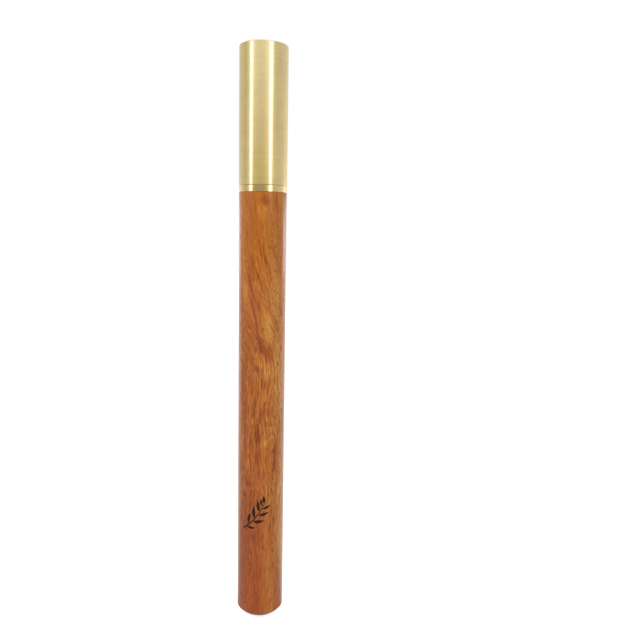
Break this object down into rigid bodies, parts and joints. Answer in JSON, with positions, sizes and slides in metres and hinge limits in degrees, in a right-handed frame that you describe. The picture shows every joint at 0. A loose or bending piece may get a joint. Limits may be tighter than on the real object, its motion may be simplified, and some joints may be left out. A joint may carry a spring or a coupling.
{
  "type": "rollerball pen",
  "caption": "Slim cylindrical rollerball pen with a wood barrel, a screw-on metal cap, a threaded conical front section and a sprung replaceable refill.",
  "frame": {"origin": "on the pen's axis, at the lowest point of the barrel's domed end", "axes": "+Z along the pen's axis from the domed end towards the writing tip and the cap; X and Y are across the pen, which is round"},
  "size_m": [0.011, 0.011, 0.134],
  "materials": {
    "hardwood": "oiled satin",
    "satin_brass": "fine brushed satin",
    "brass_internal": "as turned",
    "black_plastic": "moulded",
    "white_plastic": "moulded",
    "spring_steel": "drawn wire",
    "black_rubber": "smooth",
    "grey_rubber": "smooth",
    "refill_metal": "drawn tube",
    "nickel_silver": "turned and polished",
    "carbide": "ground",
    "wick_fibre": "bonded fibre",
    "clear_film": "thin film",
    "ink_fibre": "ink-soaked fibre"
  },
  "bodies": {
    "barrel": {"wood_barrel": "hardwood", "barrel_liner": "brass_internal", "barrel_bushing": "brass_internal", "spring_seat": "black_plastic", "refill_spring": "spring_steel"},
    "section_carrier": {"section_o_ring": "black_rubber"},
    "section": {"front_section": "satin_brass"},
    "cap_carrier": {"cap_seal": "grey_rubber"},
    "cap": {"cap_shell": "satin_brass", "inner_cap": "white_plastic"},
    "refill": {"refill_tube": "refill_metal", "refill_front_holder": "white_plastic", "writing_tip": "nickel_silver", "ball_spring": "spring_steel", "feed_wick": "wick_fibre", "reservoir_film": "clear_film", "ink_reservoir": "ink_fibre", "refill_end_plug": "black_plastic"},
    "ball": {"writing_ball": "carbide"}
  },
  "joints": [
    {"name": "section_unscrew", "type": "slide", "parent": "barrel", "child": "section_carrier", "axis": [0, 0, 1], "range_m": [0, 0.09]},
    {"name": "section_turn", "type": "hinge", "parent": "section_carrier", "child": "section", "pos_m": [0, 0, 0.0949], "axis": [0, 0, 1], "range_deg": [0, 43201]},
    {"name": "cap_unscrew", "type": "slide", "parent": "section", "child": "cap_carrier", "axis": [0, 0, 1], "range_m": [0, 0.0324]},
    {"name": "cap_turn", "type": "hinge", "parent": "cap_carrier", "child": "cap", "pos_m": [0, 0, 0.10335], "axis": [0, 0, 1], "range_deg": [0, 12961]},
    {"name": "refill_float", "type": "slide", "parent": "section_carrier", "child": "refill", "axis": [0, 0, 1], "range_m": [-0.0012, 0], "stiffness_N_per_m": 300, "springref_m": 0.003, "deforming": ["refill_spring"]},
    {"name": "ball_roll", "type": "hinge", "parent": "refill", "child": "ball", "pos_m": [0, 0, 0.12965], "axis": [1, 0, 0], "continuous": true}
  ],
  "couplings": [
    {"joint": "section_turn", "follows": "section_unscrew", "rad_per_m": 8377.6},
    {"joint": "cap_turn", "follows": "cap_unscrew", "rad_per_m": 6981.3}
  ]
}
